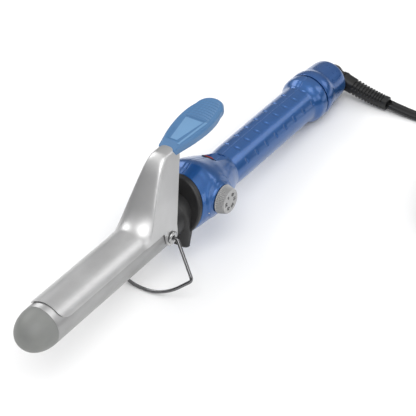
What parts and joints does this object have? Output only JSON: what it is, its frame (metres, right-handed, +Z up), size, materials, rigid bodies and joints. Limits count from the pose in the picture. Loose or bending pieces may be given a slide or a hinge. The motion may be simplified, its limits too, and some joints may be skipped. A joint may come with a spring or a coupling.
{
  "type": "curling iron",
  "caption": "Spring-clamp curling iron with thumb lever, temperature dial, rocker switch, fold-out wire stand and swivel mains cord.",
  "frame": {"origin": "middle of the base of the resting iron, at the level it rests on", "axes": "+X from the tip towards the cord end, +Z up; the barrel's axis lies in the XZ plane, 5.9 degrees nose-up on its stand"},
  "size_m": [0.3442, 0.2087, 0.0847],
  "materials": {
    "barrel_metal": "polished plated steel",
    "tip_plastic": "matte warm grey",
    "shield_plastic": "black satin",
    "housing_plastic": "pearlescent blue, glossy",
    "cap_plastic": "pearlescent blue, glossy",
    "paddle_plastic": "pale blue-grey satin",
    "dial_plastic": "silver-grey satin",
    "black_plastic": "black",
    "red_plastic": "red",
    "stand_steel": "plated wire",
    "rivet_steel": "plated",
    "inner_steel": "plain",
    "spreader_aluminium": "extruded",
    "heater_ceramic": "ceramic in film",
    "insulator_phenolic": "phenolic",
    "lead_insulation": "glass sleeve",
    "component_case": "moulded",
    "board_laminate": "laminate",
    "contact_brass": "plain",
    "cord_rubber": "soft black",
    "plug_plastic": "moulded black",
    "tie_fabric": "hook-and-loop",
    "blade_brass": "plated"
  },
  "bodies": {
    "handle": {"barrel_insulator": "insulator_phenolic", "barrel_tube": "barrel_metal", "board_components": "component_case", "clamp_spring": "inner_steel", "control_board": "board_laminate", "cord_coil": "cord_rubber", "cord_swivel": "black_plastic", "cord_tie": "tie_fabric", "end_cap": "cap_plastic", "heat_shield": "shield_plastic", "heat_spreader_lower": "spreader_aluminium", "heat_spreader_upper": "spreader_aluminium", "heater_leads": "lead_insulation", "housing_left": "housing_plastic", "housing_right": "housing_plastic", "housing_screws": "inner_steel", "mains_leads": "lead_insulation", "pivot_eyelets": "rivet_steel", "pivot_ring": "inner_steel", "plug_blades": "blade_brass", "potentiometer": "component_case", "power_cord": "cord_rubber", "power_plug": "plug_plastic", "ptc_heater": "heater_ceramic", "strain_relief": "cord_rubber", "switch_body": "black_plastic", "swivel_contacts": "contact_brass", "temperature_sensor": "component_case", "thermal_fuse": "component_case", "tip_cap": "tip_plastic"},
    "clamp": {"clamp_lever": "barrel_metal", "thumb_paddle": "paddle_plastic", "paddle_rivets": "rivet_steel"},
    "stand": {"stand_wire": "stand_steel"},
    "dial": {"temperature_dial": "dial_plastic", "dial_shaft": "black_plastic"},
    "rocker": {"switch_rocker": "red_plastic"}
  },
  "joints": [
    {"name": "clamp_hinge", "type": "hinge", "parent": "handle", "child": "clamp", "pos_m": [-0.048, 0, 0.03514], "axis": [0, 1, 0], "range_deg": [0, 15], "stiffness_Nm_per_rad": 1.1, "springref_deg": -17.19, "deforming": ["clamp_spring"]},
    {"name": "stand_fold", "type": "hinge", "parent": "handle", "child": "stand", "pos_m": [-0.048, 0, 0.03514], "axis": [0, 1, 0], "range_deg": [-82, 0]},
    {"name": "dial_turn", "type": "hinge", "parent": "handle", "child": "dial", "pos_m": [-0.00504, -0.0274, 0.03642], "axis": [0, 1, 0], "range_deg": [-135, 135]},
    {"name": "switch_rock", "type": "hinge", "parent": "handle", "child": "rocker", "pos_m": [0.01361, 0, 0.0431], "axis": [0, 1, 0], "range_deg": [-12, 0]}
  ]
}
